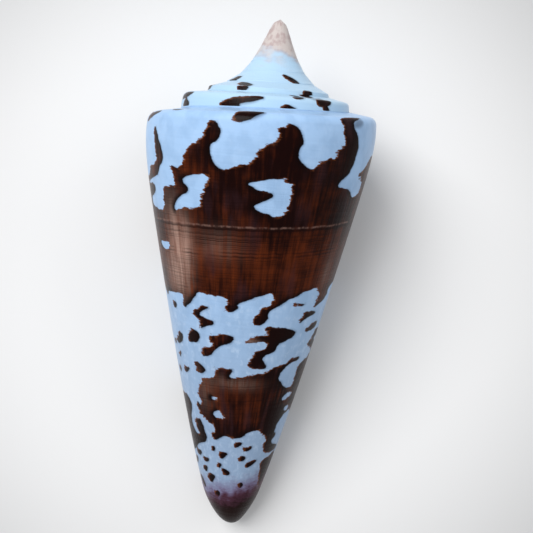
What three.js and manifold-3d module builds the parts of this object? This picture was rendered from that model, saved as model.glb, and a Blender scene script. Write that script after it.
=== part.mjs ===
// A cone shell lying on a table with its opening down: one coiled wall, grown as one piece.
// Millimetres, +Z up, +Y towards the apex, the origin under the middle of the shell.
//
// The surface is a spiral strip. "turn" counts whorls back from the lip (0) towards the apex, and
// "drop" is the distance down the axis from the apex. Every form below is a function of these two.
import * as THREE from "three";
import { mergeVertices } from "three/addons/utils/BufferGeometryUtils.js";
import Module from "manifold-3d";

// Driving dimensions of the outside.
const SHELL_LENGTH = 70;
const SHOULDER_RADIUS = 18.4; // of the growth spiral, at the lip
const WHORL_RATIO = 1.376; // how much wider each whorl is than the one before
const WHORLS = 9.5;
const LIP_ANGLE = 134.4; // degrees from the top line of the lying shell round to the lip
const LIE_PITCH = 10.5; // degrees that the axis rises towards the apex when the shell lies down

// The spire: a steep tip of the height TIP_HEIGHT, a slope, and a last whorl that sinks away.
const TIP_HEIGHT = 6.6;
const TIP_RADIUS = 2.96;
const TIP_POWER = 1.7;
const TIP_ROUND_RADIUS = 1.08; // of the blunt end of the apex
const TIP_ROUND_POWER = 1.8;
const SPIRE_SLOPE = 0.305;
const SINK = 2.3;
const SINK_RADIUS = 16.2;
const SINK_POWER = 10;

// The shoulder, the side and the base.
const SHOULDER_ROUND = 1.95; // how far the side draws in at the shoulder
const SHOULDER_FADE = 3.8; // the drop over which it does
const SIDE_BULGE = 0.5;
const SIDE_SWAY = 2.3; // moves the bulge towards the base
const CORNER_RADIUS = 1.35;
const LEAST_CORNER_SHARE = 0.3; // of CORNER_RADIUS, kept by the small whorls
const BASE_RADIUS = 2.95;
const BASE_INNER_SHARE = 0.3; // of BASE_RADIUS, left on the pillar in the middle
const BASE_FADE_TURNS = 0.75;
const BASE_CAP = 5.8; // height of the rounded end
const CAP_POWER = 0.38;

// Between two whorls of the spire, the share of the fall that is an upright step.
const STEP_SHARE = 0.67;
const LEAST_STEP_SHARE = 0.12;
const STEP_FADE_TURN = 1.72;
const STEP_FADE_LENGTH = 0.25;

// The lip and the hollow behind it.
const LIP_THICKNESS = 0.55;
const WALL_THICKNESS = 1.5;
const THICKEN_TURNS = 0.07;
const INNER_GLAZE = 0.3; // laid over the whorl before
const ROOF_THICKNESS = 1.3;
const LEAST_GAP = 0.35;
const HOLLOW_START = -0.08;
const HOLLOW_TURNS = 1.4;
const HOLLOW_RISE = 36; // how much higher the hollow ends after one turn
const CANAL_LENGTH = 0.3; // from the base up to the end of the open canal
const NOTCH_TURNS = 0.045; // the lip's bay at the shoulder
const NOTCH_FADE = 3;
const NOTCH_REACH_TURNS = 0.3;

// Facets.
const COLUMNS_PER_TURN = 42;
const RAMP_ROWS = 2;
const CORNER_ROWS = 2;
const SIDE_ROWS = 15;
const CAP_ROWS = 5;
const HOLLOW_ROWS = 12;

const TAU = 2 * Math.PI;
const RADIANS = Math.PI / 180;

const spiralRadius = (turn) => SHOULDER_RADIUS * WHORL_RATIO ** -turn;

// Drop of the whorl's rim, where its sloping top meets its side.
function rimDrop(turn) {
  const radius = spiralRadius(turn) * (1 - SHOULDER_ROUND / SHOULDER_RADIUS);
  const blunt = 1 - Math.exp(-((radius / TIP_ROUND_RADIUS) ** TIP_ROUND_POWER));
  const tip = TIP_HEIGHT * (1 - Math.exp(-blunt * (radius / TIP_RADIUS) ** TIP_POWER));
  return tip + SPIRE_SLOPE * radius + SINK * (radius / SINK_RADIUS) ** SINK_POWER;
}

function baseRadius(turn) {
  const fade = Math.exp(-((turn / BASE_FADE_TURNS) ** 2));
  return BASE_RADIUS * (BASE_INNER_SHARE + (1 - BASE_INNER_SHARE) * fade);
}

// Radius of a whorl's side at a drop, with the rounded end of the base.
function sideRadius(turn, drop) {
  const radius = spiralRadius(turn);
  const size = radius / SHOULDER_RADIUS;
  const rim = rimDrop(turn);
  const share = (drop - rim) / (SHELL_LENGTH - rim);
  const bulge = share * (1 - share) * (4 * SIDE_BULGE - SIDE_SWAY * (1 - 2 * share));
  const fade = Math.exp(-Math.max(drop - rim, 0) / (SHOULDER_FADE * size));
  const side = radius + (baseRadius(turn) - radius) * share + bulge - SHOULDER_ROUND * size * fade;
  const intoCap = Math.max(0, (drop - SHELL_LENGTH + BASE_CAP) / BASE_CAP);
  return side * Math.max(0, 1 - intoCap ** 2) ** CAP_POWER;
}

const stepShare = (turn) =>
  LEAST_STEP_SHARE + STEP_SHARE / (1 + Math.exp((turn - STEP_FADE_TURN) / STEP_FADE_LENGTH));

// Drop of the seam between a whorl's top and the side of the whorl before it.
function seamDrop(turn) {
  const above = rimDrop(turn + 1);
  return above + (rimDrop(turn) - above) * stepShare(turn);
}

function cornerRadius(turn) {
  const share = Math.max(LEAST_CORNER_SHARE, stepShare(turn) / stepShare(0));
  return CORNER_RADIUS * WHORL_RATIO ** -turn * share;
}

// A point of the lying shell before it is pitched, from its turn, radius and drop.
function place(turn, radius, drop) {
  const angle = LIP_ANGLE * RADIANS - TAU * turn;
  return new THREE.Vector3(-radius * Math.sin(angle), -drop, radius * Math.cos(angle));
}

// The lip is set back in a bay at its shoulder, which fades along the first columns.
function pointAt(turn, share, shape) {
  const setBack = NOTCH_TURNS * share * Math.max(0, 1 - turn / NOTCH_REACH_TURNS);
  const [radius, drop] = shape(turn + setBack);
  return place(turn + setBack, radius, drop);
}

// Rows of one column down to the seam of the next whorl: sloping top, then the rounded corner.
function topRows(turn) {
  const rows = [];
  for (let k = 0; k < RAMP_ROWS; k += 1) {
    const t = k / RAMP_ROWS;
    rows.push(pointAt(turn, t, (w) => {
      const inner = sideRadius(w + 1, seamDrop(w));
      const outer = sideRadius(w, rimDrop(w) + cornerRadius(w)) - cornerRadius(w);
      return [inner + (outer - inner) * t, seamDrop(w) + (rimDrop(w) - seamDrop(w)) * t];
    }));
  }
  for (let k = 0; k <= CORNER_ROWS; k += 1) {
    const bend = (Math.PI / 2) * (k / CORNER_ROWS);
    rows.push(pointAt(turn, 1, (w) => {
      const corner = cornerRadius(w);
      const outer = sideRadius(w, rimDrop(w) + corner);
      return [outer - corner * (1 - Math.sin(bend)), rimDrop(w) + corner * (1 - Math.cos(bend))];
    }));
  }
  return rows;
}

// Rows of the last whorl's side from the level of the next seam down to the base, without the tip.
function sideRows(turn) {
  const upright = seamDrop(0) - rimDrop(1) - cornerRadius(1);
  const start = rimDrop(turn) + cornerRadius(turn) + upright;
  const drops = [];
  for (let k = 0; k <= SIDE_ROWS; k += 1) {
    drops.push(start + (SHELL_LENGTH - BASE_CAP - start) * (k / SIDE_ROWS));
  }
  for (let k = 1; k < CAP_ROWS; k += 1) {
    drops.push(SHELL_LENGTH - BASE_CAP * (1 - Math.sin((Math.PI / 2) * (k / CAP_ROWS))));
  }
  return drops.map((drop) => {
    const share = Math.exp(-(drop - start) / NOTCH_FADE);
    return pointAt(turn, share, (w) => [sideRadius(w, drop), drop]);
  });
}

// Collects triangles as corner points and gives a merged geometry.
class Faces {
  constructor() {
    this.corners = [];
  }
  triangle(a, b, c) {
    if (a.equals(b) || b.equals(c) || c.equals(a)) return;
    for (const p of [a, b, c]) this.corners.push(p.x, p.y, p.z);
  }
  strip(left, right) {
    for (let k = 0; k + 1 < left.length; k += 1) {
      this.triangle(left[k], left[k + 1], right[k + 1]);
      this.triangle(left[k], right[k + 1], right[k]);
    }
  }
  fan(centre, line) {
    for (let k = 0; k + 1 < line.length; k += 1) this.triangle(centre, line[k], line[k + 1]);
  }
  geometry() {
    const positions = new THREE.Float32BufferAttribute(this.corners, 3);
    return mergeVertices(new THREE.BufferGeometry().setAttribute("position", positions), 1e-4);
  }
}

// The filled outside: the spiral strip, the step at the lip and the tip of the apex.
function outside() {
  const base = place(0, 0, SHELL_LENGTH);
  const count = Math.round(WHORLS * COLUMNS_PER_TURN);
  const tops = [];
  for (let i = 0; i <= count; i += 1) tops.push(topRows(i / COLUMNS_PER_TURN));
  const seams = tops.map((rows) => rows[0]);

  const faces = new Faces();
  const long = [];
  for (let i = 0; i <= COLUMNS_PER_TURN; i += 1) {
    long.push([...tops[i], ...sideRows(i / COLUMNS_PER_TURN), base]);
  }
  // The last long column passes under the lip, so its seam is the lip's own.
  long[COLUMNS_PER_TURN][tops[0].length] = seams[0];
  for (let i = 0; i < COLUMNS_PER_TURN; i += 1) faces.strip(long[i], long[i + 1]);

  const short = (i) => [...tops[i], seams[i - COLUMNS_PER_TURN]];
  for (let i = COLUMNS_PER_TURN; i < count; i += 1) faces.strip(short(i), short(i + 1));

  const lip = long[0];
  const under = long[COLUMNS_PER_TURN].slice(tops[0].length);
  faces.fan(seams[0], lip.slice(0, tops[0].length + 1).reverse());
  faces.strip(under, lip.slice(tops[0].length));

  const apex = place(0, 0, 0);
  faces.fan(apex, [...seams.slice(count - COLUMNS_PER_TURN), ...short(count).slice(1)]);
  return faces.geometry();
}

const wallThickness = (turn) => {
  const inside = 1 - Math.exp(-Math.max(turn, 0) / THICKEN_TURNS);
  return LIP_THICKNESS + (WALL_THICKNESS - LIP_THICKNESS) * inside;
};

// One closed ring round the hollow: down along the outer wall, and up along the whorl before.
function hollowRing(turn) {
  const top = rimDrop(turn) + ROOF_THICKNESS;
  const innerTop = seamDrop(turn) + ROOF_THICKNESS;
  const lift = HOLLOW_RISE * Math.max(turn, 0);
  const bottom = SHELL_LENGTH - CANAL_LENGTH - lift;
  const innerAt = (drop) => sideRadius(turn + 1, drop) + INNER_GLAZE;
  const ring = [];
  for (let k = 0; k <= HOLLOW_ROWS; k += 1) {
    const drop = top + (bottom - top) * (k / HOLLOW_ROWS);
    const outer = sideRadius(turn, drop) - wallThickness(turn);
    ring.push(place(turn, Math.max(outer, innerAt(drop) + LEAST_GAP), drop));
  }
  for (let k = HOLLOW_ROWS; k >= 0; k -= 1) {
    const drop = innerTop + (bottom - innerTop) * (k / HOLLOW_ROWS);
    ring.push(place(turn, innerAt(drop), drop));
  }
  return [...ring, ring[0]];
}

// The two sides of a ring, both from the top down.
const outerSide = (ring) => ring.slice(0, HOLLOW_ROWS + 1);
const innerSide = (ring) => ring.slice(HOLLOW_ROWS + 1, -1).reverse();

// The hollow from just outside the lip back to where later growth has filled it.
function hollow() {
  const faces = new Faces();
  const steps = Math.round((HOLLOW_TURNS - HOLLOW_START) * COLUMNS_PER_TURN);
  const rings = [];
  for (let i = 0; i <= steps; i += 1) {
    rings.push(hollowRing(HOLLOW_START + i / COLUMNS_PER_TURN));
  }
  for (let i = 0; i < steps; i += 1) faces.strip(rings[i], rings[i + 1]);
  faces.strip(innerSide(rings[0]), outerSide(rings[0]));
  faces.strip(outerSide(rings[steps]), innerSide(rings[steps]));
  return faces.geometry();
}

const wasm = await Module();
wasm.setup();

function toSolid(geometry) {
  return new wasm.Manifold(new wasm.Mesh({
    numProp: 3,
    vertProperties: geometry.attributes.position.array,
    triVerts: new Uint32Array(geometry.index.array),
  }));
}

function toGeometry(solid) {
  const mesh = solid.getMesh();
  const geometry = new THREE.BufferGeometry();
  geometry.setAttribute("position", new THREE.BufferAttribute(mesh.vertProperties, 3));
  geometry.setIndex(new THREE.BufferAttribute(mesh.triVerts, 1));
  return geometry;
}

// Lays the shell down: pitched, standing on the surface, with the origin under its middle.
function layDown(geometry) {
  geometry.rotateX(LIE_PITCH * RADIANS);
  geometry.computeBoundingBox();
  const { min, max } = geometry.boundingBox;
  geometry.translate(-(min.x + max.x) / 2, -(min.y + max.y) / 2, -min.z);
  geometry.computeVertexNormals();
  return geometry;
}

const porcelain = new THREE.MeshStandardMaterial({
  color: new THREE.Color(0.78, 0.85, 0.93),
  roughness: 0.3,
  metalness: 0,
});

const shell = new THREE.Mesh(layDown(toGeometry(toSolid(outside()).subtract(toSolid(hollow())))), porcelain);
shell.name = "shell";

const part = new THREE.Group();
part.add(shell);

export default part;
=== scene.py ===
"""A cone shell lying on a pale floor, seen from straight above.

The surface is a spiral strip. "turn" counts whorls back from the lip (0) towards the apex, and "drop"
is the distance down the axis from the apex, in millimetres. A bearing is the angle round the axis from
the top line of the lying shell, in degrees, positive to the right seen from above with the apex away.
"""

import bpy
import numpy as np
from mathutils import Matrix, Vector


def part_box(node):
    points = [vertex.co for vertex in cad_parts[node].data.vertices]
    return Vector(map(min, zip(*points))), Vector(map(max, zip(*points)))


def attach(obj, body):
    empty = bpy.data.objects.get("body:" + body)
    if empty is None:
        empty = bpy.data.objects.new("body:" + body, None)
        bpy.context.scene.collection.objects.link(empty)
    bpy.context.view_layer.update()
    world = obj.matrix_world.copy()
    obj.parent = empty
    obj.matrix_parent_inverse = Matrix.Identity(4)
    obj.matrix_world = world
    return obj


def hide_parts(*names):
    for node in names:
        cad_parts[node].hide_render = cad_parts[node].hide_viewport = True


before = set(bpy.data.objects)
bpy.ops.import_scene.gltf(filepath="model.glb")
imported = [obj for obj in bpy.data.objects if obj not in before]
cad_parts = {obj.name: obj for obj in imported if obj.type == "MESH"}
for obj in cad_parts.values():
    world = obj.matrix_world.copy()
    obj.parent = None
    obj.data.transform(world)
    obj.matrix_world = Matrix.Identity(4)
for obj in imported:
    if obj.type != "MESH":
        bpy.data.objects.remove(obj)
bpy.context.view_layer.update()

MM = 0.001
TAU = 2 * np.pi
TINY = 1e-4  # mm or turns, for points that lie on an edge
JUST_UNDER_ONE = 1 - 1e-6  # a turn that still belongs to the last whorl

# Driving dimensions of the outside, in millimetres, turns and degrees.
SHELL_LENGTH = 70
SHOULDER_RADIUS = 18.4
WHORL_RATIO = 1.376
WHORLS = 9.5
LIP_ANGLE = 134.4
LIE_PITCH = 10.5
TIP_HEIGHT = 6.6
TIP_RADIUS = 2.96
TIP_POWER = 1.7
TIP_ROUND_RADIUS = 1.08
TIP_ROUND_POWER = 1.8
SPIRE_SLOPE = 0.305
SINK = 2.3
SINK_RADIUS = 16.2
SINK_POWER = 10
SHOULDER_ROUND = 1.95
SHOULDER_FADE = 3.8
SIDE_BULGE = 0.5
SIDE_SWAY = 2.3
CORNER_RADIUS = 1.35
LEAST_CORNER_SHARE = 0.3
BASE_RADIUS = 2.95
BASE_INNER_SHARE = 0.3
BASE_FADE_TURNS = 0.75
BASE_CAP = 5.8
CAP_POWER = 0.38
STEP_SHARE = 0.67
LEAST_STEP_SHARE = 0.12
STEP_FADE_TURN = 1.72
STEP_FADE_LENGTH = 0.25

# The lip and the hollow behind it.
LIP_THICKNESS = 0.55
WALL_THICKNESS = 1.5
THICKEN_TURNS = 0.07
INNER_GLAZE = 0.3
ROOF_THICKNESS = 1.3
LEAST_GAP = 0.35
HOLLOW_START = -0.08
HOLLOW_TURNS = 1.4
HOLLOW_RISE = 36
CANAL_LENGTH = 0.3
NOTCH_TURNS = 0.045
NOTCH_FADE = 3
NOTCH_REACH_TURNS = 0.3

# Facets. The side that faces up is the finer one, and below FINE_DROP every second column is left out.
COLUMNS_UP = 200
COLUMNS_DOWN = 100
FINE_DROP = 38
FINE_ROWS = 96
LOWER_ROWS = 104
CAP_ROWS = 14
TOP_ROWS = ((8, 9, 7), (7, 6, 6), (4, 4, 3), (3, 2, 2))  # slope, corner and wall rows of each whorl
HOLLOW_COLUMNS = 72
HOLLOW_ROWS = 24


def spiral_radius(turn):
    return SHOULDER_RADIUS * WHORL_RATIO**-turn


def rim_drop(turn):
    """Drop of the whorl's rim, where its sloping top meets its side."""
    radius = spiral_radius(turn) * (1 - SHOULDER_ROUND / SHOULDER_RADIUS)
    blunt = 1 - np.exp(-((radius / TIP_ROUND_RADIUS) ** TIP_ROUND_POWER))
    tip = TIP_HEIGHT * (1 - np.exp(-blunt * (radius / TIP_RADIUS) ** TIP_POWER))
    return tip + SPIRE_SLOPE * radius + SINK * (radius / SINK_RADIUS) ** SINK_POWER


def base_radius(turn):
    fade = np.exp(-((turn / BASE_FADE_TURNS) ** 2))
    return BASE_RADIUS * (BASE_INNER_SHARE + (1 - BASE_INNER_SHARE) * fade)


def side_radius(turn, drop):
    """Radius of a whorl's side at a drop, with the rounded end of the base."""
    radius = spiral_radius(turn)
    size = radius / SHOULDER_RADIUS
    rim = rim_drop(turn)
    share = (drop - rim) / (SHELL_LENGTH - rim)
    bulge = share * (1 - share) * (4 * SIDE_BULGE - SIDE_SWAY * (1 - 2 * share))
    fade = np.exp(-np.maximum(drop - rim, 0) / (SHOULDER_FADE * size))
    side = radius + (base_radius(turn) - radius) * share + bulge - SHOULDER_ROUND * size * fade
    into_cap = np.maximum(0, (drop - SHELL_LENGTH + BASE_CAP) / BASE_CAP)
    return side * np.maximum(0, 1 - into_cap**2) ** CAP_POWER


def step_share(turn):
    return LEAST_STEP_SHARE + STEP_SHARE / (1 + np.exp((turn - STEP_FADE_TURN) / STEP_FADE_LENGTH))


def seam_drop(turn):
    """Drop of the seam between a whorl's top and the side of the whorl before it."""
    above = rim_drop(turn + 1)
    return above + (rim_drop(turn) - above) * step_share(turn)


def corner_radius(turn):
    share = np.maximum(LEAST_CORNER_SHARE, step_share(turn) / step_share(0))
    return CORNER_RADIUS * WHORL_RATIO**-turn * share


def place(turn, radius, drop):
    """Points of the lying shell before it is pitched, from turn, radius and drop."""
    angle = np.radians(LIP_ANGLE) - TAU * turn
    return np.stack(np.broadcast_arrays(-radius * np.sin(angle), -drop, radius * np.cos(angle)), -1)


def set_back(turn, share):
    """The lip is set back in a bay at its shoulder, which fades along the first columns."""
    return turn + NOTCH_TURNS * share * np.maximum(0, 1 - turn / NOTCH_REACH_TURNS)


def next_seam(turn):
    """Drop where the side of a whorl meets the seam of the next one, or would meet it."""
    upright = seam_drop(0) - rim_drop(1) - corner_radius(1)
    return np.where(turn < 1, rim_drop(turn) + corner_radius(turn) + upright, seam_drop(turn - 1))


def top_grid(turns, rows):
    """Rows of points from the inner seam over the sloping top and the corner down to the next seam."""
    slope_rows, corner_rows, wall_rows = rows
    grid = []
    for k in range(slope_rows):
        t = k / slope_rows
        w = set_back(turns, t)
        inner = side_radius(w + 1, seam_drop(w))
        outer = side_radius(w, rim_drop(w) + corner_radius(w)) - corner_radius(w)
        drop = seam_drop(w) + (rim_drop(w) - seam_drop(w)) * t
        grid.append(place(w, inner + (outer - inner) * t, drop))
    w = set_back(turns, 1)
    corner = corner_radius(w)
    outer = side_radius(w, rim_drop(w) + corner)
    for k in range(corner_rows + 1):
        bend = np.pi / 2 * k / corner_rows
        drop = rim_drop(w) + corner * (1 - np.cos(bend))
        grid.append(place(w, outer - corner * (1 - np.sin(bend)), drop))
    for k in range(1, wall_rows):
        top = rim_drop(w) + corner
        drop = top + (next_seam(w) - top) * k / wall_rows
        grid.append(place(w, side_radius(w, drop), drop))
    return np.array(grid)


def side_grid(turns, shares_down):
    """Rows of points on the last whorl's side. shares_down gives the drop from the start of each column."""
    start = next_seam(np.minimum(turns, 1 - 1e-9))
    grid = []
    for drop in shares_down(start):
        w = set_back(turns, np.exp(-(drop - start) / NOTCH_FADE))
        grid.append(place(w, side_radius(w, drop), drop))
    return np.array(grid)


class Surface:
    """Collects points and faces."""

    def __init__(self):
        self.points = []
        self.faces = []

    def add(self, points):
        """Adds an array of points and returns their numbers in the same layout."""
        flat = points.reshape(-1, 3)
        first = len(self.points)
        self.points.extend(flat.tolist())
        return np.arange(first, first + len(flat)).reshape(points.shape[:-1])

    def sheet(self, grid):
        """Faces between the rows and columns of a grid of point numbers."""
        upper, lower = grid[:-1], grid[1:]
        quads = np.stack([upper[:, :-1], lower[:, :-1], lower[:, 1:], upper[:, 1:]], -1)
        self.faces.extend(quads.reshape(-1, 4).tolist())

    def stitch(self, left, right):
        """Triangles between two lines whose numbers of points may differ."""
        i, j = 0, 0
        while i + 1 < len(left) or j + 1 < len(right):
            ahead_left = (i + 1) / max(len(left) - 1, 1)
            ahead_right = (j + 1) / max(len(right) - 1, 1)
            if j + 1 == len(right) or (i + 1 < len(left) and ahead_left <= ahead_right):
                self.triangle(left[i], left[i + 1], right[j])
                i += 1
            else:
                self.triangle(left[i], right[j + 1], right[j])
                j += 1

    def triangle(self, a, b, c):
        if len({int(a), int(b), int(c)}) == 3:
            self.faces.append([int(a), int(b), int(c)])

    def fan(self, centre, line):
        for a, b in zip(line[:-1], line[1:]):
            self.triangle(centre, a, b)

    def make(self, name):
        used = sorted({corner for face in self.faces for corner in face})
        number = {old: new for new, old in enumerate(used)}
        points = [self.points[old] for old in used]
        faces = [[number[corner] for corner in face] for face in self.faces]
        mesh = bpy.data.meshes.new(name)
        mesh.from_pydata(points, [], faces)
        piece = bpy.data.objects.new(name, mesh)
        bpy.context.scene.collection.objects.link(piece)
        return piece


def column_turns():
    """Turns of the columns of one whorl, close together where the shell faces up."""
    up_from, up_to = LIP_ANGLE - 90, LIP_ANGLE + 90
    before = round(COLUMNS_DOWN * up_from / 180 / 2) * 2
    after = COLUMNS_DOWN - before
    degrees = np.concatenate([
        np.linspace(0, up_from, before, endpoint=False),
        np.linspace(up_from, up_to, COLUMNS_UP, endpoint=False),
        np.linspace(up_to, 360, after, endpoint=False),
    ])
    return degrees / 360


def outside():
    """The filled outside: the spiral strip, the step at the lip and the tip of the apex."""
    surface = Surface()
    ring = column_turns()
    around = len(ring)
    turns = np.concatenate([ring + k for k in range(int(WHORLS) + 1)])
    turns = turns[turns <= WHORLS]
    last = len(turns) - 1

    # Top rows, whorl by whorl. Every column's first point is the seam of the column one turn further in.
    columns = []
    for whorl in range(int(WHORLS) + 1):
        own = turns[whorl * around:(whorl + 1) * around]
        rows = TOP_ROWS[min(whorl, len(TOP_ROWS) - 1)]
        columns.extend(surface.add(top_grid(own, rows)).T)
    seams = [column[0] for column in columns]
    end = surface.add(top_grid(np.array([1.0]), TOP_ROWS[0])[1:]).T[0]
    long_end = np.concatenate([[seams[around]], end])
    columns[around] = long_end

    # The last whorl down to the base.
    long_turns = np.append(ring, 1.0)
    fine = surface.add(side_grid(
        long_turns, lambda start: [start + (FINE_DROP - start) * k / FINE_ROWS for k in range(FINE_ROWS + 1)]
    ))
    fine[0, around] = seams[0]
    top = np.array([columns[i] for i in range(around + 1)]).T
    surface.sheet(np.vstack([top, fine]))

    cap_start = SHELL_LENGTH - BASE_CAP
    drops = [FINE_DROP + (cap_start - FINE_DROP) * k / LOWER_ROWS for k in range(1, LOWER_ROWS + 1)]
    drops += [SHELL_LENGTH - BASE_CAP * (1 - np.sin(np.pi / 2 * k / CAP_ROWS)) for k in range(1, CAP_ROWS)]
    coarse = surface.add(side_grid(long_turns[::2], lambda start: [start * 0 + drop for drop in drops]))
    surface.sheet(coarse)
    for k in range(coarse.shape[1] - 1):
        left, middle, right = fine[-1, 2 * k:2 * k + 3]
        below_left, below_right = coarse[0, k:k + 2]
        surface.triangle(left, below_left, middle)
        surface.triangle(middle, below_left, below_right)
        surface.triangle(middle, below_right, right)
    base = surface.add(place(0, 0, SHELL_LENGTH).reshape(1, 3))[0]
    for a, b in zip(coarse[-1, :-1], coarse[-1, 1:]):
        surface.triangle(a, base, b)

    # The shorter columns of the spire.
    def short(i):
        return np.append(columns[i], seams[i - around])

    surface.stitch(short(around), short(around + 1))
    for i in range(around + 1, last):
        if len(columns[i]) == len(columns[i + 1]):
            surface.sheet(np.stack([short(i), short(i + 1)], -1))
        else:
            surface.stitch(short(i), short(i + 1))

    # The step at the lip, then the apex.
    lip_top = np.append(columns[0], fine[0, 0])
    surface.fan(seams[0], lip_top[::-1])
    under = np.concatenate([fine[:, around], coarse[:, -1], [base]])
    lip = np.concatenate([fine[:, 0], coarse[:, 0], [base]])
    for a, b, c, d in zip(under[:-1], under[1:], lip[1:], lip[:-1]):
        surface.triangle(a, b, c)
        surface.triangle(a, c, d)
    apex = surface.add(place(0, 0, 0).reshape(1, 3))[0]
    surface.fan(apex, np.concatenate([seams[last - around:last + 1], short(last)[1:]]))
    return surface


def wall_thickness(turn):
    inside = 1 - np.exp(-max(turn, 0) / THICKEN_TURNS)
    return LIP_THICKNESS + (WALL_THICKNESS - LIP_THICKNESS) * inside


def hollow_ring(turn):
    """One closed ring round the hollow: down along the outer wall, and up along the whorl before."""
    down = np.arange(HOLLOW_ROWS + 1) / HOLLOW_ROWS
    top = rim_drop(turn) + ROOF_THICKNESS
    inner_top = seam_drop(turn) + ROOF_THICKNESS
    bottom = SHELL_LENGTH - CANAL_LENGTH - HOLLOW_RISE * max(turn, 0)
    outer_drop = top + (bottom - top) * down
    inner_drop = inner_top + (bottom - inner_top) * down
    least = side_radius(turn + 1, outer_drop) + INNER_GLAZE + LEAST_GAP
    outer = np.maximum(side_radius(turn, outer_drop) - wall_thickness(turn), least)
    inner = side_radius(turn + 1, inner_drop) + INNER_GLAZE
    return np.concatenate([place(turn, outer, outer_drop), place(turn, inner, inner_drop)[::-1]])


def hollow():
    """The hollow from just outside the lip back to where later growth has filled it."""
    surface = Surface()
    steps = round((HOLLOW_TURNS - HOLLOW_START) * HOLLOW_COLUMNS)
    turns = [HOLLOW_START + i / HOLLOW_COLUMNS for i in range(steps + 1)]
    rings = surface.add(np.array([hollow_ring(turn) for turn in turns]))
    surface.sheet(np.hstack([rings, rings[:, :1]]).T)
    half = HOLLOW_ROWS + 1
    for ring, left, right in ((rings[0], 1, 0), (rings[-1], 0, 1)):
        sides = (ring[:half], ring[half:][::-1])
        surface.sheet(np.stack([sides[left], sides[right]], -1))
    return surface


# Outlines of the brown markings on the last whorl, as (bearing, drop) pairs.
UPPER_BAND = (
    (-80, 22), (-67, 22), (-65.7, 22.7), (-69, 23.4), (-76, 24), (-75.5, 24.9), (-68, 25.1), (-57.2, 25),
    (-56.8, 22.5), (-55, 22), (-53, 22), (-50, 21.6), (-46.3, 21.6), (-46.5, 20.7), (-48, 20), (-49.3, 19.3),
    (-48, 19.1), (-45.5, 19.3), (-43, 19.5), (-41.3, 19.3), (-40, 18.6), (-40.1, 17.9), (-38, 17.4),
    (-36.3, 16.6), (-33.4, 16), (-30.1, 15.7), (-28.8, 15), (-27.6, 14), (-25.9, 13.5), (-22.8, 13.5),
    (-20.7, 14.3), (-20.6, 15.1), (-22.2, 15.7), (-24.3, 16), (-25.6, 16.6), (-24.7, 17.5), (-23, 18.3),
    (-20.1, 18.9), (-17.2, 18.9), (-14.7, 18.4), (-10.5, 18.1), (-5.9, 17.7), (-4.7, 17), (-2.2, 16.1),
    (0, 15.5), (4, 15.4), (5, 14.6), (4.8, 13.7), (6.2, 13.3), (8.5, 13), (10.8, 13), (13.7, 13.3),
    (15.6, 14), (16.9, 15), (15, 15.8), (15, 16.5), (16.7, 17.2), (20, 17.7), (23.3, 17.9), (25.4, 17.3),
    (27.5, 17), (31.7, 16.6), (35, 16.3), (35.3, 15.4), (37.9, 15.1), (40, 14.8), (39.8, 13.9), (38.2, 13.7),
    (38, 12.8), (36.6, 12.3), (35.9, 11.9), (38.5, 11.5), (43, 11.3), (49, 11.2), (54, 11.2), (50, 11.6),
    (45, 12), (45.4, 12.8), (48.3, 13.4), (50.5, 14.6), (50.3, 15.8), (49.2, 17.2), (46.7, 18.2),
    (43.3, 18.9), (40.6, 19.5), (41.7, 19.9), (50, 20.1), (53.3, 20.5), (54.6, 21), (60, 21.1), (64.2, 20.6),
    (66.3, 20), (64.2, 19.3), (60.4, 18.8), (57.6, 18.3), (61.7, 17.8), (65.8, 17.1), (69.2, 16.5),
    (72, 16), (86, 16), (86, 33), (72.5, 32.9), (66.7, 33.1), (64, 33.6), (66.7, 34.3), (63.3, 34.6),
    (60, 35.1), (54.2, 35.4), (50, 35.8), (50, 35.2), (51, 34.3), (49.8, 33.5), (47.5, 33), (43.3, 33),
    (37.5, 33.2), (33.3, 33.5), (28.3, 34.1), (24.2, 34.3), (20.8, 34.8), (17.5, 35.3), (13.3, 35.8),
    (11.3, 36.3), (12.5, 36.8), (10.8, 37.3), (7.5, 37.8), (3.7, 37.9), (1.6, 37.6), (2.5, 36.8),
    (5.4, 36.2), (7.1, 35.5), (10, 35.4), (13.3, 34.9), (13.9, 34.1), (12.5, 33.7), (9.2, 33.6), (4.2, 34),
    (0, 34.4), (-4.7, 34.9), (-9.3, 35.3), (-7.6, 35.7), (-10.1, 36.2), (-13, 36.5), (-15.8, 36.4),
    (-15.5, 35.3), (-16.3, 34.6), (-21.3, 34.6), (-26.3, 34.7), (-31.3, 34.5), (-35.5, 34.6), (-37.2, 35.1),
    (-40.5, 35.9), (-44.7, 36.6), (-47.2, 37.1), (-50.1, 37.1), (-50.8, 36.5), (-48.8, 36), (-49.7, 35.4),
    (-60.5, 35.7), (-69.7, 36), (-71, 36.6), (-74, 36.5), (-80, 36), (-90, 35.8), (-90, 22),
)
LEFT_FLAME = (
    (-64, 14.9), (-61.3, 14.8), (-58.8, 16), (-55.9, 17), (-53.7, 18.3), (-55.5, 19.1), (-58.4, 19.7),
    (-60.1, 20.6), (-63.8, 21), (-71.3, 21.5), (-80, 22.2), (-90, 22.6), (-90, 21.4), (-79.7, 21.4),
    (-75.5, 21.1), (-72.2, 20.4), (-69.3, 19.8), (-65.5, 19.6), (-61.8, 19.2), (-60.9, 18.4), (-61.8, 17.2),
    (-63, 16),
)
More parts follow.
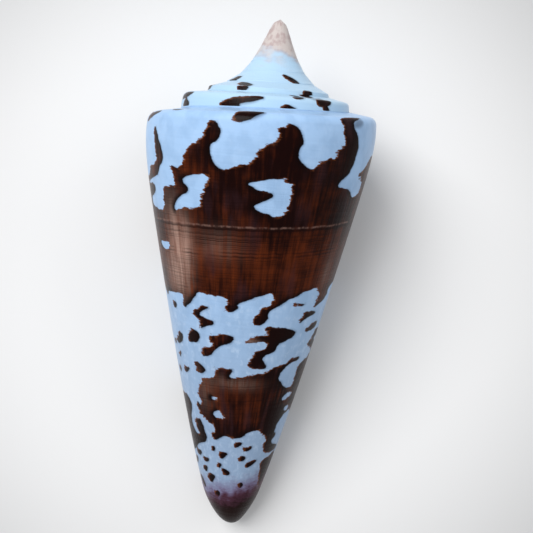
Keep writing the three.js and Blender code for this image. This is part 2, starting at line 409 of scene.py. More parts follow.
BAND_HOLES = (
    ((-26, 19.7), (-33.8, 19.8), (-38, 20.2), (-41.3, 20.7), (-40, 21.1), (-37.6, 21.5), (-37, 21.9),
     (-38.8, 22.3), (-42.2, 22.7), (-45.5, 23.3), (-47.7, 24), (-48, 24.5), (-46.3, 24.7), (-43, 24.3),
     (-38, 24), (-31.3, 23.8), (-30.5, 23), (-30.9, 22.2), (-29.7, 21.9), (-28, 21.3), (-26.3, 20.6)),
    ((-6.9, 20.2), (-3.8, 19.8), (0, 19.7), (2.5, 19.5), (9.2, 19.2), (10.8, 19.3), (11.7, 19.7),
     (14.3, 19.8), (14.2, 20.5), (13.8, 22), (12.9, 23.4), (10, 23.8), (6.7, 23.9), (4.2, 23.6), (0.8, 23.4),
     (-1.3, 23.3), (-3.4, 22.9), (-1.8, 22.5), (2.5, 22), (5, 21.6), (5.9, 21.3), (5, 21), (2.5, 20.9),
     (-1.3, 20.9), (-3.8, 20.6)),
    ((-69.3, 29.6), (-68, 29.2), (-59.7, 29.1), (-57.2, 29.2), (-57, 29.8), (-58.8, 30.1), (-65.5, 30.2)),
    ((118, 21), (124, 20.2), (129, 21.4), (126, 22.4), (130, 23.4), (122, 23.6), (119, 22.4)),
    ((163, 21.6), (170, 20.8), (177, 21.6), (174, 22.8), (178, 24), (169, 24.4), (165, 23)),
    ((205, 22.4), (211, 21.8), (214, 23), (209, 24.2), (204, 23.6)),
    ((-113, 22.4), (-107, 21.6), (-102, 22.6), (-105, 23.4), (-101, 24.4), (-108, 24.6), (-112, 23.8)),
)
HIDDEN_BANDS = (
    ((84, 16), (90, 15.4), (96, 14.3), (102, 14.5), (106, 16.2), (112, 18.4), (120, 18.9), (127, 17.6),
     (131, 15.2), (137, 13.8), (143, 14.5), (146, 16.8), (152, 19.2), (160, 19.7), (168, 18.2), (174, 16),
     (180, 14.3), (186, 14.8), (190, 17.2), (196, 19.4), (204, 19.9), (212, 18.4), (219, 16.6), (228, 15.8),
     (228, 33.6), (218, 34.6), (208, 33.9), (200, 35.4), (190, 34.2), (180, 33.2), (172, 34.4), (160, 34.9),
     (150, 33.6), (140, 34.2), (130, 35.6), (120, 34), (110, 33.4), (100, 34.4), (92, 33.2), (84, 33)),
    ((-137, 17.2), (-130, 16.4), (-124, 14.9), (-119, 14.6), (-116, 16.4), (-112, 18.8), (-106, 19.6),
     (-100, 20.9), (-94, 21.6), (-86, 21.8), (-86, 36), (-96, 34.6), (-104, 35.2), (-112, 34),
     (-120, 34.8), (-128, 33.9), (-137, 34.6)),
    ((64, 43.5), (75, 43), (84, 43.9), (92, 45.2), (100, 44.2), (110, 43.4), (118, 44.6), (128, 45.8),
     (138, 44.4), (148, 43.6), (158, 44.8), (168, 46.2), (178, 45), (190, 43.8), (200, 44.6), (212, 45.8),
     (228, 44.6), (228, 54.4), (214, 53.4), (203, 54.8), (192, 55.6), (180, 54), (168, 53.2), (156, 54.6),
     (146, 55.4), (134, 54.2), (122, 53.4), (112, 54.8), (100, 55.6), (90, 54.2), (80, 52.6), (72, 51.5),
     (64, 51)),
    ((-70, 50.2), (-88, 50.6), (-96, 49.6), (-104, 50.8), (-114, 49.9), (-124, 50.6), (-137, 49.8),
     (-137, 57.5), (-124, 58.6), (-112, 57.6), (-100, 59.2), (-88, 59.3), (-79, 59), (-70, 58.4)),
)
LOWER_PATCH = (
    (-40, 46.9), (-36.9, 46.5), (-31.7, 46.1), (-24.5, 45.9), (-24.8, 44.6), (-21, 44.5), (-18.5, 44.3),
    (-12.3, 44.2), (-8.8, 44.4), (-11.4, 45), (-13, 45.5), (-9.7, 45.6), (-4.4, 45.3), (0.9, 45.1),
    (5.3, 44.8), (15.9, 44.5), (20.5, 43.9), (26.4, 43.7), (31.7, 43.4), (37, 42.9), (44, 42.6), (50.8, 42.8),
    (47.6, 43.2), (39.6, 43.4), (34.4, 44), (30.8, 44.7), (30.8, 45.7), (35.2, 46.1), (39.6, 46.8),
    (43.2, 47.2), (49.3, 47.1), (52, 46.7), (52, 45.6), (50.6, 44.5), (52.8, 43.8), (61.6, 43.5),
    (68, 43.4), (68, 51.2), (59.9, 51.1), (52.8, 51.5), (49.3, 52.2), (44.9, 52.8), (46.7, 53.4), (44, 53.8),
    (49.3, 54.2), (49.8, 54.8), (44, 55.2), (48.4, 55.9), (61.6, 56.4), (68, 56.6), (66, 57.2), (57, 57.3),
    (49.3, 57.4), (40.5, 57.2), (35.2, 56.8), (32.6, 56), (33, 55.3), (34.4, 54.8), (30.8, 54.2),
    (26.4, 53.8), (20.3, 53.2), (14.1, 53.3), (7.1, 53.6), (5.3, 54.1), (0, 54.4), (-5.3, 54.6),
    (-13.2, 54.3), (-17.6, 54.4), (-21.1, 54.8), (-26.4, 55.3), (-29.9, 55.2), (-32.5, 54.4), (-28.1, 54.1),
    (-27.3, 53.4), (-29, 52.9), (-35.2, 52.8), (-42.2, 52.2), (-45.7, 51.8), (-44.9, 51.3), (-47.5, 50.9),
    (-48.8, 50.3), (-45.7, 50.2), (-42.2, 50.6), (-40.9, 49.9), (-42.2, 49.4), (-44, 49), (-43.5, 48.3),
    (-41.3, 47.6),
)
LEFT_PATCH = (
    (-90, 50.6), (-71.3, 50.2), (-65.1, 50), (-59.8, 50.5), (-56.3, 51.1), (-57.2, 51.9), (-60.7, 52.8),
    (-62.5, 53.6), (-61.6, 54.5), (-58, 55.2), (-52.8, 55.5), (-50.1, 55.3), (-52.8, 54.5), (-54.1, 53.7),
    (-55, 53.2), (-50.1, 52.9), (-45.7, 52.8), (-42.2, 53.4), (-40.5, 54.4), (-37.8, 55.2), (-40, 56),
    (-45.7, 56.4), (-52.8, 56.8), (-59.8, 57.5), (-66, 58.2), (-72.2, 58.6), (-90, 59.3),
)
RIGHT_FOOT = (
    (35, 58.6), (38.8, 58.2), (45.8, 58), (51, 58), (57, 57.6), (66, 57.4), (72, 58.5), (70, 61), (62, 63.4),
    (54, 63.6), (47, 62.6), (42, 61.3), (39.5, 60), (37, 59.3),
)
PATCH_HOLES = (
    ((41, 48.7), (44, 48.2), (49.3, 47.9), (54.6, 48.1), (57.2, 48.4), (52.8, 48.8), (43.2, 49)),
    ((50, 50.4), (53, 50.1), (58, 50.2), (60, 50.6), (56, 51), (51, 50.9)),
    ((-30.3, 49), (-27.3, 48.7), (-22.4, 48.8), (-23.7, 49.2), (-27.3, 49.2)),
    ((-28.8, 51.3), (-25.5, 50.9), (-22.4, 50.6), (-18.5, 50.9), (-16.3, 51.3), (-18.5, 51.7), (-25.5, 51.9)),
    ((96, 48.6), (103, 48.2), (106, 49), (99, 49.4)),
    ((130, 50), (137, 49.5), (141, 50.4), (133, 50.8)),
    ((171, 47.8), (178, 47.4), (181, 48.4), (174, 48.8)),
    ((204, 50.4), (210, 49.9), (214, 50.8), (207, 51.3)),
)
ZIGZAGS = (
    ((-33.8, 36.2), (-28.4, 36.2), (-27.8, 36.4), (-33.4, 37), (-35.9, 37.6), (-33, 37.8), (-23.6, 38),
     (-24.3, 38.4), (-27.2, 38.7), (-31.3, 39), (-34.7, 39.4), (-36.6, 39.4), (-35.5, 38.5), (-38, 38),
     (-41, 37.8), (-40.1, 37.3), (-37.6, 37), (-35.9, 36.6)),
    ((11.7, 38), (24.2, 38.1), (30.8, 38.4), (35, 38.7), (37.2, 39.1), (35.2, 39.5), (30, 39.9),
     (24.7, 40.3), (22.5, 40.7), (22, 41.2), (19, 41.7), (15, 41.9), (12, 42.4), (14.6, 43), (17.3, 43.7),
     (14.6, 44), (5.3, 44), (2.1, 43.5), (2.7, 42.7), (4.4, 42.1), (7.1, 41.5), (10.6, 41.2), (14.6, 40.7),
     (14.6, 40.2), (10.6, 40.1), (4.4, 40.2), (-0.9, 40.4), (-2.3, 40.3), (0, 39.9), (4.4, 39.4),
     (13.7, 39.1), (12.4, 38.6)),
    ((-29, 40.3), (-26.4, 39.9), (-22.9, 40), (-19.3, 39.6), (-13.2, 39.5), (-9.7, 39.8), (-10.5, 40.4),
     (-14, 40.8), (-18.5, 41.1), (-21.1, 41.5), (-24.6, 42.1), (-26.4, 42.7), (-30.8, 43.1), (-35.2, 43.3),
     (-36.3, 42.9), (-35.2, 42.3), (-31.7, 41.9), (-27.3, 41.8), (-25.5, 41.3), (-28.1, 41)),
    ((39.2, 36.2), (50, 36.2), (54.8, 36.5), (50.8, 36.8), (45.8, 37), (41.7, 37.3), (38.3, 37.7),
     (36.6, 37.6), (38.8, 37.1), (39.6, 36.6)),
    ((45.6, 38.9), (50, 38.4), (53.3, 38), (58.3, 37.8), (63.4, 38), (62.5, 38.7), (58.3, 39), (46.7, 39.1)),
    ((56.3, 41.3), (58.1, 40.8), (61.6, 40.6), (63.4, 39.9), (65.2, 39.2), (70.5, 39.1), (78, 39.6),
     (80, 40.3), (68, 40.7), (78, 41.4), (88, 41.6), (86, 42.6), (79, 42.9), (72.2, 42.5), (67, 42.1),
     (61.6, 41.7)),
    ((29, 35), (33.3, 34.8), (39.3, 35), (35.8, 35.3), (31.7, 35.3)),
)
FLECKS = (
    ((-48, 40.8), (-45.7, 40.2), (-41.3, 39.9), (-37.3, 40.3), (-37.1, 40.8), (-39.6, 41.4), (-44, 41.5),
     (-46.6, 41.8), (-48.5, 41.5)),
    ((-55.3, 41.4), (-57.2, 41.1), (-61.6, 41.4), (-65.1, 42.1), (-68.3, 42.7), (-66, 42.9), (-57.2, 42.2)),
    ((-44.1, 44.5), (-41.3, 44.4), (-37.8, 44.5), (-33.8, 45.1), (-36, 45.6), (-39.6, 45.8), (-42.2, 45.6),
     (-42.9, 45)),
    ((-67.5, 44.7), (-64.2, 44.1), (-62.2, 44.1), (-64.7, 44.6)),
    ((-60, 46.4), (-57.2, 45.8), (-52.1, 45.6), (-52.8, 46), (-58, 46.6)),
    ((-63, 37.4), (-61, 37), (-58.6, 37.2), (-59.5, 37.7), (-62, 37.8)),
    ((-74, 42.9), (-70, 42.5), (-69, 42.9), (-72, 43.3)),
    ((-74, 46.8), (-70, 46.3), (-68, 46.6), (-71, 47.2)),
)
DOTS = (
    ((-4.9, 55.6), (-1.7, 55.2), (4.2, 55.1), (0.9, 55.6), (-2.6, 55.8)),
    ((6.1, 56), (10.6, 55.9), (17, 55.7), (14.1, 56.2), (9.7, 56.4)),
    ((-33, 56.7), (-31, 56.4), (-28.7, 56.6), (-30.5, 57), (-32.3, 57)),
    ((-23, 57.5), (-20.2, 57), (-12.5, 57), (-15.8, 57.5), (-19.3, 57.9), (-22, 57.9)),
    ((2, 57.6), (6.2, 57.3), (10.8, 57.5), (7.1, 58), (4, 58)),
    ((12.2, 58.8), (14.6, 58.3), (20.3, 58.2), (27.5, 58), (23.8, 58.5), (19.4, 58.8), (15, 59.1)),
    ((-26.4, 59.3), (-24, 58.9), (-21, 59), (-23, 59.4), (-25, 59.6)),
    ((-20, 59.7), (-15.8, 59.7), (-9.5, 60), (-10.5, 60.4), (-14, 60.5), (-17.6, 60.3)),
    ((-64.4, 58.4), (-59, 58), (-51.7, 58.1), (-54.5, 58.5), (-59, 58.8)),
    ((-49.9, 58.7), (-45.7, 58.8), (-39.4, 58.7), (-42.2, 59.1), (-46.6, 59.3)),
    ((-53.4, 60.6), (-50.1, 60.2), (-44.2, 60.1), (-46.6, 60.7), (-50.1, 61)),
    ((-46.8, 61.8), (-43.1, 61.2), (-38.7, 61), (-31.9, 61.2), (-36, 61.8), (-39.1, 62.3), (-43.1, 62.2)),
    ((5, 62), (9.3, 61.7), (13.5, 62), (9.5, 62.5)),
    ((-80, 60.6), (-74, 59.8), (-66, 59.5), (-68, 60.1), (-76, 60.8)),
    ((-73, 62.6), (-66, 62.4), (-58, 63.4), (-60, 63.9), (-68, 63.6)),
    ((-36.5, 64.1), (-31, 63.5), (-25, 63.8), (-29, 64.5)),
)
# On the rounded shoulder and the sloping top of the last whorl.
SHOULDER_STREAKS = (
    ((-16, 12.8), (-15.5, 12.2), (-12, 11.8), (-8, 11.5), (-2, 11.6), (-6, 12.3), (-9, 12.9), (-13, 13.3)),
    ((-77, 14.4), (-76, 13.4), (-68, 12.9), (-61, 12.7), (-67, 13.5)),
    ((-53, 12.2), (-50, 11.8), (-45, 11.9), (-48, 12.4)),
)
# On the whorls of the spire, where bearings count on past 180 whorl by whorl.
SPIRE_MARKS = (
    ((632, 9.9), (635, 9.0), (642, 8.6), (651, 8.8), (645, 9.6), (637, 9.9)),
    ((1010, 8.6), (1016, 7.4), (1030, 7.4), (1026, 8.4), (1016, 8.7)),
    ((681, 7.4), (690, 7.6), (699, 8.2), (698, 8.8), (690, 8.7), (683, 8.3)),
    ((687, 9.05), (698, 9.0), (695, 9.6), (692, 10), (689, 9.6)),
    ((1092, 6.5), (1100, 6.7), (1108, 7.1), (1115, 7.7), (1113, 8.1), (1105, 7.9), (1098, 7.2)),
    ((374, 7.8), (380, 8), (383, 9.2), (380, 9.9), (374, 9.8), (377, 9)),
    ((750, 8.7), (759, 8.7), (760, 9.9), (750, 9.9)),
    ((385, 6.8), (395, 6.8), (394, 8.4), (389, 8.8), (385, 8.6)),
    ((392, 9.7), (398, 9.3), (405, 9.7), (403, 10.2), (398, 10.5), (392, 10.5)),
    ((397, 10.4), (400, 10.4), (405, 11.8), (398, 11.8)),
    ((366, 11.2), (370, 10.8), (377, 11.3), (374, 11.7), (366, 11.7)),
    ((326, 11.6), (331, 11), (337, 10.6), (343, 10.4), (348, 10.2), (356, 10.2), (350, 10.6), (344, 10.9),
     (338, 11.2), (341, 11.5), (333, 11.8)),
    ((287, 12.1), (288, 11.4), (291, 11.1), (298, 11.7), (293, 12.2)),
    ((278, 11.2), (282, 10.5), (289, 10.2), (300, 10.2), (293, 10.8), (284, 11.1)),
    ((446, 10.2), (452, 9.7), (458, 10.1), (451, 10.6)),
    ((474, 9.9), (480, 9.5), (484, 10), (477, 10.5)),
    ((506, 10.6), (514, 10.2), (520, 10.7), (511, 11)),
    ((544, 9.9), (550, 9.5), (555, 9.9), (548, 10.3)),
    ((571, 10.5), (577, 10), (584, 10.3), (575, 10.8)),
    ((816, 9), (822, 8.7), (828, 9.1), (820, 9.4)),
    ((857, 9), (864, 8.6), (870, 8.9), (861, 9.3)),
    ((900, 8.8), (907, 8.4), (912, 8.8), (903, 9.1)),
    ((1204, 7.6), (1212, 7.3), (1220, 7.6), (1210, 7.9)),
)
# Soft blue-grey patches of painted shade beside dark streaks on the shoulder and the spire.
SHADE_PATCHES = (
    ((-9, 12.8), (-6, 12), (-2, 11.6), (-2, 12), (-6, 12.8)),
    ((44, 12.7), (47, 11.8), (53, 11.5), (54, 12), (50, 12.6)),
    ((340, 11), (347, 10.6), (352, 10.5), (350, 10.8), (345, 11.1), (340, 11.3)),
    ((386, 9.3), (396, 8.8), (402, 8.2), (399, 9.4), (391, 9.9)),
)

# The middle of the last whorl's pattern goes on round the hidden side.
REPEAT_RIGHT = 146
REPEAT_LEFT = -78
REPEAT_EDGE = 60
REPEAT_LEFT_FROM = -10
CORNER_CUT = 0.22  # share of each side by which an outline's corners are cut back
SMALL_MARK_GROWTH = 0.13  # mm
REACH = 1.6  # mm, how far from a marking's edge its distance is measured
POINTS_AT_ONCE = 2000

SPIRAL_LINE_DROP = 25.35
SPIRAL_LINE_RISE = 0.92  # mm per radian of bearing
BASE_COLOUR_DROP = 64.2
BASE_COLOUR_SWAY = 1.6
INSIDE_DEPTH = 0.2
NOWHERE = 99  # mm, stands for a spiral line or a base colour that is not near
PATTERN_RADIUS = 10  # mm. The shell's girth is made even, so that streaks run along it.

# Paler and deeper places in the browns: strength, bearing, drop, half width and half height. The paler places
# on the left of the band are partly painted sheen.
PALE_AND_SHEEN_SPOTS = (
    (0.95, -47, 29.5, 9, 5.5),
    (0.5, -58, 33, 10, 3),
    (0.3, -36, 48, 12, 4),
    (0.3, -20, 28, 16, 2.5),
    (0.3, 52, 31, 6, 3),
    (0.2, -60, 24, 8, 3),
    (0.5, 2, 40.1, 8, 0.5),
    (0.35, -5, 46.3, 22, 1.2),
)
DEEP_SPOTS = (
    (0.8, 8, 17, 14, 4),
    (0.8, 44, 15, 12, 5),
    (0.8, -24, 16, 9, 3),
    (0.5, 0, 22.5, 60, 3),
    (0.7, 12, 41, 14, 3),
    (0.6, 38, 54, 14, 5),
    (0.7, -60, 53, 16, 5),
    (-0.5, -50, 19, 14, 3),
    (-0.5, 0, 29.8, 150, 3.5),
    (-0.85, -8, 48.5, 60, 4.5),
    (0.35, 16, 29, 7, 5),
)
DEEP_ABOVE_DROP = 13.2
DEEP_ABOVE = 0.9
DEEP_BELOW_DROP = 35.6
DEEP_BELOW = 0.7


def smooth(outline):
    """Cuts back the corners of a closed outline."""
    points = np.array(outline, float)
    following = np.roll(points, -1, axis=0)
    near = points * (1 - CORNER_CUT) + following * CORNER_CUT
    far = points * CORNER_CUT + following * (1 - CORNER_CUT)
    return np.stack([near, far], 1).reshape(-1, 2)


def repeated(outlines):
    """The outlines themselves, and copies on the hidden side."""
    result = list(outlines)
    for outline in outlines:
        middle = np.mean([bearing for bearing, _ in outline])
        if abs(middle) < REPEAT_EDGE:
            result.append([(bearing + REPEAT_RIGHT, drop) for bearing, drop in outline])
        if -REPEAT_EDGE < middle < REPEAT_LEFT_FROM:
            result.append([(bearing + REPEAT_LEFT, drop) for bearing, drop in outline])
    return result


def distances(outlines, bearing, drop, radius):
    """How far inside the outlines each point lies, in mm, and +1 by a right-hand edge, -1 by a left-hand."""
    inside_by = np.full(len(bearing), -REACH)
    side = np.zeros(len(bearing))
    for outline in outlines:
        xs, ys = smooth(outline).T
        margin = np.degrees(REACH / np.maximum(radius, 1))
        near = np.where(
            (bearing > xs.min() - margin) & (bearing < xs.max() + margin)
            & (drop > ys.min() - REACH) & (drop < ys.max() + REACH)
        )[0]
        for some in np.array_split(near, len(near) // POINTS_AT_ONCE + 1):
            x = (xs - bearing[some][:, None]) * np.radians(radius[some])[:, None]
            y = ys - drop[some][:, None]
            x_step, y_step = np.roll(x, -1, 1) - x, np.roll(y, -1, 1) - y
            length = x_step**2 + y_step**2 + 1e-12
            t = np.clip(-(x * x_step + y * y_step) / length, 0, 1)
            x_near, y_near = x + t * x_step, y + t * y_step
            apart = np.sqrt(x_near**2 + y_near**2)
            best = apart.argmin(1)
            rows = np.arange(len(some))
            crosses = (y > 0) != (y + y_step > 0)
            crosses &= x - y * x_step / np.where(y_step == 0, 1e-12, y_step) > 0
            sign = np.where(crosses.sum(1) % 2 == 1, 1, -1)
            distance = np.clip(sign * apart[rows, best], -REACH, REACH)
            better = distance > inside_by[some]
            chosen = some[better]
            inside_by[chosen] = distance[better]
            side[chosen] = (sign * x_near[rows, best] / (apart[rows, best] + 1e-6))[better]
    return inside_by, side


def surface_place(points):
    """Turn, bearing, radius and unrolled drop of points on the outside, and how deep they lie inside."""
    x, y, z = points.T
    drop = -y
    radius = np.hypot(x, z)
    angle = np.degrees(np.arctan2(-x, z))
    turn = ((LIP_ANGLE - angle) / 360) % 1
    on_lip_plane = np.abs(turn - np.round(turn)) < TINY
    beyond = radius > side_radius(1.0, drop) + INNER_GLAZE / 2
    turn = np.where(on_lip_plane, np.where(beyond, 0, JUST_UNDER_ONE), turn)
    for _ in range(int(WHORLS)):
        turn = np.where(drop < seam_drop(turn) - TINY, turn + 1, turn)
    corner = corner_radius(turn)
    rim = rim_drop(turn)
    side = side_radius(turn, np.maximum(drop, rim + corner))
    outer = side_radius(turn, rim + corner) - corner
    depth = np.where(drop >= rim + corner, side - radius, 0)
    bend = np.arcsin(np.clip((radius - outer) / corner, 0, 1))
    unrolled = np.where(drop >= rim + corner, drop, rim + corner - corner * (np.pi / 2 - bend))
    on_slope = (drop < rim + corner) & (radius < outer)
    slope = np.hypot(outer - radius, rim - drop)
    unrolled = np.where(on_slope, rim + corner * (1 - np.pi / 2) - slope, unrolled)
    return turn, turn * 360 - LIP_ANGLE, radius, unrolled, depth


def soft_spots(spots, bearing, drop):
    """Sum of soft spots. Each falls to about a third of its strength one half width or height away."""
    total = np.zeros(len(bearing))
    for strength, middle_bearing, middle_drop, half_width, half_height in spots:
        across = (bearing - middle_bearing) / half_width
        down = (drop - middle_drop) / half_height
        total += strength * np.exp(-(across**2 + down**2))
    return total


def add_attribute(mesh, name, values):
    kind = "FLOAT" if values.ndim == 1 else "FLOAT_VECTOR"
    attribute = mesh.attributes.new(name, kind, "POINT")
    key = "value" if values.ndim == 1 else "vector"
    attribute.data.foreach_set(key, values.astype(np.float32).ravel())


def paint(mesh):
    """Stores the markings and zones as values on the mesh's points, for the material to read."""
    points = np.empty(len(mesh.vertices) * 3)
    mesh.vertices.foreach_get("co", points)
    points = points.reshape(-1, 3)
    turn, bearing, radius, drop, depth = surface_place(points)
    last = turn < 1
    large = [UPPER_BAND, LEFT_FLAME, LOWER_PATCH, LEFT_PATCH, RIGHT_FOOT, *HIDDEN_BANDS, *repeated(ZIGZAGS)]
    mark, side = distances(large, bearing, drop, radius)
    small = [*repeated([*FLECKS, *DOTS, *SHOULDER_STREAKS]), *SPIRE_MARKS]
    small_mark, small_side = distances(small, bearing, drop, radius)
    small_mark += SMALL_MARK_GROWTH
    side = np.where(small_mark > mark, small_side, side)
    mark = np.maximum(mark, small_mark)
    hole, hole_side = distances([*BAND_HOLES, *PATCH_HOLES], bearing, drop, radius)
    side = np.where(-hole < mark, -hole_side, side)
    mark = np.minimum(mark, -hole)
    # Where the patches of painted shade lie.
    painted_shade, _ = distances(SHADE_PATCHES, bearing, drop, radius)
    radians = np.radians(bearing)
    deep = soft_spots(DEEP_SPOTS, bearing, drop)
    deep += DEEP_ABOVE * (drop < DEEP_ABOVE_DROP) + DEEP_BELOW * (drop > DEEP_BELOW_DROP)
    spiral = drop + SPIRAL_LINE_RISE * radians - SPIRAL_LINE_DROP
    base = drop - BASE_COLOUR_DROP + BASE_COLOUR_SWAY * np.sin(radians)
    pattern = [PATTERN_RADIUS * np.cos(radians), PATTERN_RADIUS * np.sin(radians), drop]
    add_attribute(mesh, "mark", mark)
    add_attribute(mesh, "edge_side", side)
    add_attribute(mesh, "painted_shade", painted_shade)
    # Paler places in the browns; those on the left of the band are partly a painted sheen.
    add_attribute(mesh, "pale", soft_spots(PALE_AND_SHEEN_SPOTS, bearing, drop))
    add_attribute(mesh, "deep", deep)
    add_attribute(mesh, "drop", drop)
    add_attribute(mesh, "spiral", np.where(last, spiral, NOWHERE))
    add_attribute(mesh, "base", np.where(last, base, -NOWHERE))
    add_attribute(mesh, "turn", turn)
    add_attribute(mesh, "inside", (depth > INSIDE_DEPTH).astype(float))
    add_attribute(mesh, "pattern", np.stack(pattern, -1))


def srgb(red, green, blue):
    """A colour from its 0 to 255 screen values, as Blender's linear values."""
    channels = np.array([red, green, blue]) / 255
    linear = np.where(channels <= 0.04045, channels / 12.92, ((channels + 0.055) / 1.055) ** 2.4)
    return (*linear.tolist(), 1)


class Shader:
    """Adds nodes to a material and links them."""

    def __init__(self, name):
        self.material = bpy.data.materials.new(name)
        self.material.use_nodes = True
        self.tree = self.material.node_tree
        self.principled = self.tree.nodes["Principled BSDF"]

    def feed(self, socket, value):
        if hasattr(value, "is_output"):
            self.tree.links.new(value, socket)
        else:
            socket.default_value = value

    def attribute(self, name, vector=False):
        node = self.tree.nodes.new("ShaderNodeAttribute")
        node.attribute_name = name
        return node.outputs["Vector" if vector else "Fac"]

    def math(self, operation, *values):
        node = self.tree.nodes.new("ShaderNodeMath")
        node.operation = operation
        for socket, value in zip(node.inputs, values):
            self.feed(socket, value)
        return node.outputs[0]

    def stretch(self, vector, scale):
        node = self.tree.nodes.new("ShaderNodeVectorMath")
        node.operation = "MULTIPLY"
        self.feed(node.inputs[0], vector)
        self.feed(node.inputs[1], scale)
        return node.outputs[0]

    def noise(self, vector, scale, detail=2.0, roughness=0.5):
        node = self.tree.nodes.new("ShaderNodeTexNoise")
        self.feed(node.inputs["Vector"], vector)
        node.inputs["Scale"].default_value = scale
        node.inputs["Detail"].default_value = detail
        node.inputs["Roughness"].default_value = roughness
        return node.outputs["Fac"]

    def grain(self, pattern, round_scale, along_scale, detail=2.0, roughness=0.5):
        """Noise with one scale round the shell and another one along it."""
        stretched = self.stretch(pattern, (round_scale, round_scale, along_scale))
        return self.noise(stretched, 1.0, detail, roughness)

    def centred(self, noise):
        """Noise moved down, so that it sways about 0."""
        return self.math("SUBTRACT", noise, 0.5)

    def stripes(self, value, scale):
        """Noise that changes with one value only."""
        node = self.tree.nodes.new("ShaderNodeTexNoise")
        node.noise_dimensions = "1D"
        self.feed(node.inputs["W"], value)
        node.inputs["Scale"].default_value = scale
        node.inputs["Detail"].default_value = 3.0
        node.inputs["Roughness"].default_value = 0.6
        return node.outputs["Fac"]

    def step(self, value, low, high, to_low=0.0, to_high=1.0):
        """Goes smoothly from to_low to to_high while value goes from low to high."""
        node = self.tree.nodes.new("ShaderNodeMapRange")
        node.interpolation_type = "SMOOTHSTEP"
        self.feed(node.inputs["Value"], value)
        for name, number in zip(("From Min", "From Max", "To Min", "To Max"), (low, high, to_low, to_high)):
            node.inputs[name].default_value = number
        return node.outputs["Result"]

    def mix(self, share, first, second):
        node = self.tree.nodes.new("ShaderNodeMix")
        node.data_type = "RGBA"
        self.feed(node.inputs["Factor"], share)
        self.feed(node.inputs[6], first)
        self.feed(node.inputs[7], second)
        return node.outputs[2]

    def bump(self, height, distance, strength=1.0, normal=None):
        node = self.tree.nodes.new("ShaderNodeBump")
        node.inputs["Distance"].default_value = distance
        node.inputs["Strength"].default_value = strength
        self.feed(node.inputs["Height"], height)
        if normal is not None:
            self.feed(node.inputs["Normal"], normal)
        return node.outputs["Normal"]


# The whites carry a blue tint that is a painted reflection of the sky on the shell's white ground.
SKY_TINTED_WHITE = srgb(160, 192, 228)
SKY_TINTED_WHITE_SHADE = srgb(150, 182, 218)
# The lower white is partly the shell's greyer ground towards the base and partly painted shade.
LOWER_WHITE_AND_SHADE = srgb(138, 158, 184)
SKY_TINTED_FLECK_WHITE = srgb(196, 216, 238)
SKY_TINTED_SPIRE_WHITE = srgb(172, 202, 226)
APEX_CREAM = srgb(196, 186, 182)
APEX_PINK = srgb(176, 158, 156)
INNER_WHITE = srgb(226, 226, 232)
BROWN = srgb(92, 38, 12)
BROWN_DARK = srgb(20, 2, 1)
BROWN_VIOLET = srgb(52, 30, 34)
# The pale brown is partly paler shell colour and partly painted sheen.
BROWN_PALE_AND_SHEEN = srgb(172, 138, 124)
FRINGE = srgb(116, 64, 32)
NEAR_BLACK = srgb(8, 1, 1)
# Blue-grey for painted shade beside streaks, and for the halo along the markings' right-hand edges.
HALO_AND_SHADE_BLUE = srgb(74, 88, 108)
BASE_LAVENDER = srgb(112, 102, 132)
BASE_PLUM = srgb(70, 40, 54)
BASE_DARK = srgb(26, 6, 4)
LINE_PALE = srgb(140, 108, 98)


ROUGHNESS = 0.28
SPECULAR_LEVEL = 0.07
GROWTH_RELIEF = 0.05  # mm
CORD_RELIEF = 0.06  # mm
RELIEF_STRENGTH = 0.6


def marking_edge(shader, pattern, drop, leftness):
    """How far inside a marking a point lies, in mm. Left-hand edges are the more ragged ones."""
    raggedness = shader.math(
        "MULTIPLY", shader.step(drop, 11, 14, 0.4, 1.0), shader.step(drop, 52, 58, 1.0, 0.5)
    )
    lumps = shader.math("MULTIPLY", shader.centred(shader.grain(pattern, 1.1, 1.5)), raggedness)
    teeth = shader.math("MULTIPLY", shader.centred(shader.grain(pattern, 1.2, 4.0, 3.0, 0.7)), raggedness)
    lump_size = shader.math("MULTIPLY_ADD", leftness, 0.7, 0.35)
    tooth_size = shader.math("MULTIPLY_ADD", leftness, 0.9, 0.12)
    edge = shader.math("MULTIPLY_ADD", lumps, lump_size, shader.attribute("mark"))
    return shader.math("MULTIPLY_ADD", teeth, tooth_size, edge)


def streaked_brown(shader, pattern, clouds):
    """The browns inside the markings, streaked along the growth lines."""
    streaks = shader.grain(pattern, 1.9, 0.14, 4.0, 0.55)
    fine_streaks = shader.grain(pattern, 6.0, 0.22, 3.0, 0.6)
    depth = shader.math("MULTIPLY_ADD", streaks, 0.9, shader.math("MULTIPLY", clouds, 0.7))
    depth = shader.math("MULTIPLY_ADD", fine_streaks, 0.38, depth)
    depth = shader.math("MULTIPLY_ADD", shader.attribute("deep"), 0.35, depth)
    brown = shader.mix(shader.step(depth, 0.5, 1.25), BROWN, BROWN_DARK)
    violet = shader.grain(pattern, 0.55, 0.14, 3.0)
    brown = shader.mix(shader.step(violet, 0.5, 0.7, 0.0, 0.5), brown, BROWN_VIOLET)
    # Paler streaks in the browns, on the left of the band partly a painted sheen.
    pale_and_sheen_streaks = shader.math("MULTIPLY_ADD", fine_streaks, 0.5, streaks)
    pale_and_sheen_streaks = shader.step(pale_and_sheen_streaks, 0.5, 0.95, 0.3, 1.0)
    pale_and_sheen_share = shader.math("MULTIPLY", shader.step(shader.attribute("pale"), 0.0, 1.0), pale_and_sheen_streaks)
    return shader.mix(pale_and_sheen_share, brown, BROWN_PALE_AND_SHEEN)


def rimmed_brown(shader, brown, edge, leftness, rightness):
    """A near-black rim along right-hand edges, and a lighter brown fringe along left-hand ones."""
    rim_share = shader.math("MULTIPLY", rightness, shader.step(edge, 0.9, 0.0))
    brown = shader.mix(rim_share, brown, NEAR_BLACK)
    fringe_share = shader.math("MULTIPLY", leftness, shader.step(edge, 0.3, 0.02, 0.0, 0.85))
    return shader.mix(fringe_share, brown, FRINGE)


